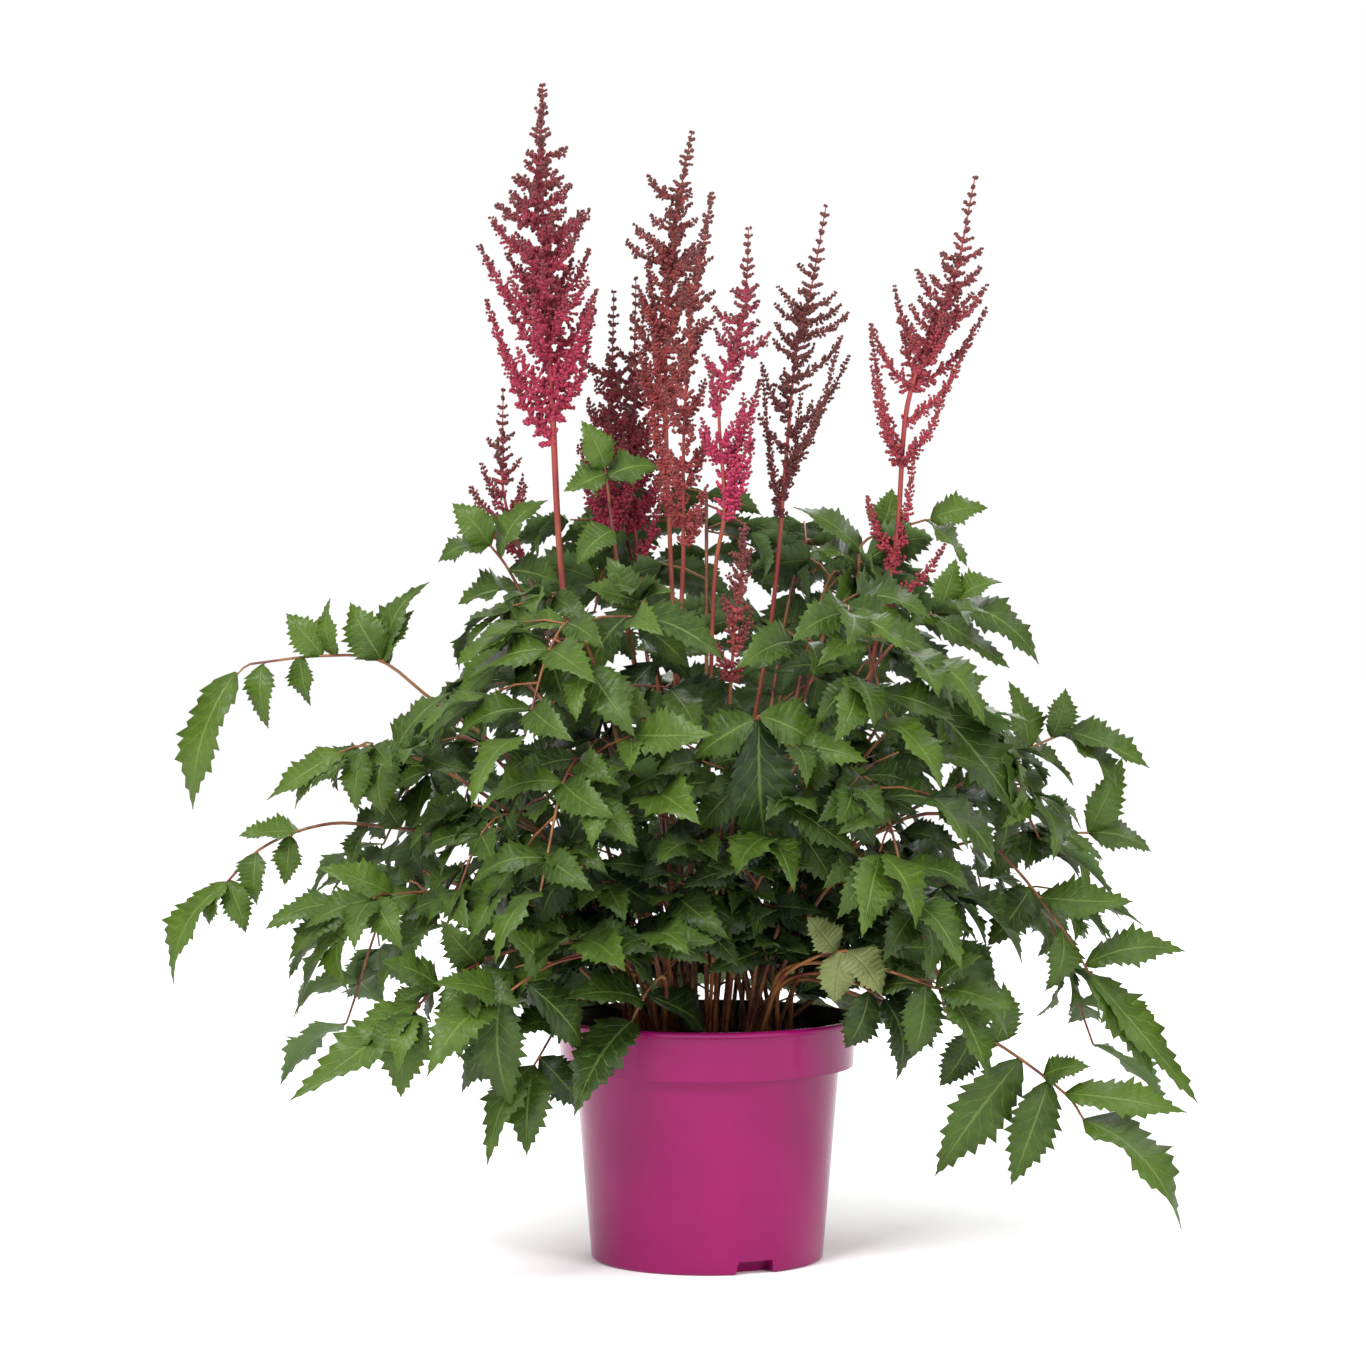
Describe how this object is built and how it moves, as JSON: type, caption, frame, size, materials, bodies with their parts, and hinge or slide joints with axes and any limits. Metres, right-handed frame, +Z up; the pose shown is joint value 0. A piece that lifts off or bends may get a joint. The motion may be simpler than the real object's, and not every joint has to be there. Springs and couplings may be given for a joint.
{
  "type": "astilbe plant",
  "caption": "Astilbe in a nursery pot: red, salmon and maroon plumes on upright stalks above arching toothed compound leaves.",
  "frame": {"origin": "centre of the flat underside of the pot, on the ground", "axes": "+Z up along the pot's axis, -Y towards the side that faced the camera, +X to that view's right"},
  "size_m": [0.6291, 0.5298, 0.7244],
  "materials": {
    "pot_plastic": "injection-moulded polypropylene, satin gloss, magenta",
    "compost": "moist peat-free potting compost with bark fibre and fine pale roots",
    "leaf_green": "living leaf: satin upper side, paler underside, red-brown stalks",
    "leaf_yellowed": "fading leaf, khaki yellow",
    "florets_crimson": "tiny crimson florets on red-brown stalks",
    "florets_salmon": "tiny salmon-red florets and buds on red-brown stalks",
    "florets_pink": "tiny pink-crimson florets on red stalks",
    "florets_maroon": "dark maroon flower buds on red-brown stalks",
    "florets_red": "tiny red florets and buds on red stalks"
  },
  "bodies": {
    "root": {"leaf_back_low_centre": "leaf_green", "leaf_back_low_left": "leaf_green", "leaf_back_low_left_inner": "leaf_green", "leaf_back_low_right": "leaf_green", "leaf_back_low_right_inner": "leaf_green", "leaf_back_middle_centre_left": "leaf_green", "leaf_back_middle_centre_right": "leaf_green", "leaf_back_middle_left": "leaf_green", "leaf_back_middle_right": "leaf_green", "leaf_back_upper_left": "leaf_green", "leaf_back_upper_right": "leaf_green", "leaf_centre_broad": "leaf_green", "leaf_centre_left": "leaf_green", "leaf_centre_right": "leaf_green", "leaf_core_back": "leaf_green", "leaf_core_front_left": "leaf_green", "leaf_core_front_right": "leaf_green", "leaf_core_left": "leaf_green", "leaf_core_right": "leaf_green", "leaf_front_centre_left": "leaf_green", "leaf_front_left": "leaf_green", "leaf_front_left_inner": "leaf_green", "leaf_front_middle_left": "leaf_green", "leaf_front_middle_right": "leaf_green", "leaf_front_upper_left": "leaf_green", "leaf_front_upper_right": "leaf_green", "leaf_left_long": "leaf_green", "leaf_left_low": "leaf_green", "leaf_left_middle": "leaf_green", "leaf_left_top": "leaf_green", "leaf_left_upper_arching": "leaf_green", "leaf_over_rim": "leaf_green", "leaf_right_arching": "leaf_green", "leaf_right_back": "leaf_green", "leaf_right_broad": "leaf_green", "leaf_right_dark": "leaf_green", "leaf_right_low": "leaf_green", "leaf_right_middle": "leaf_green", "leaf_right_of_pot": "leaf_green", "leaf_right_top": "leaf_green", "leaf_right_upper": "leaf_green", "leaf_side_left_middle": "leaf_green", "leaf_side_right_middle": "leaf_green", "leaf_top_inner": "leaf_green", "leaf_upper_centre": "leaf_green", "leaf_yellowed": "leaf_yellowed", "plume_centre_back_left": "florets_crimson", "plume_centre_back_right": "florets_crimson", "plume_crimson_tall": "florets_crimson", "plume_maroon": "florets_maroon", "plume_pink": "florets_pink", "plume_red_right": "florets_red", "plume_salmon_low": "florets_salmon", "plume_salmon_slim": "florets_salmon", "plume_salmon_tall": "florets_salmon", "plume_small_left": "florets_crimson", "pot": "pot_plastic", "root_ball": "compost"}
  },
  "joints": []
}
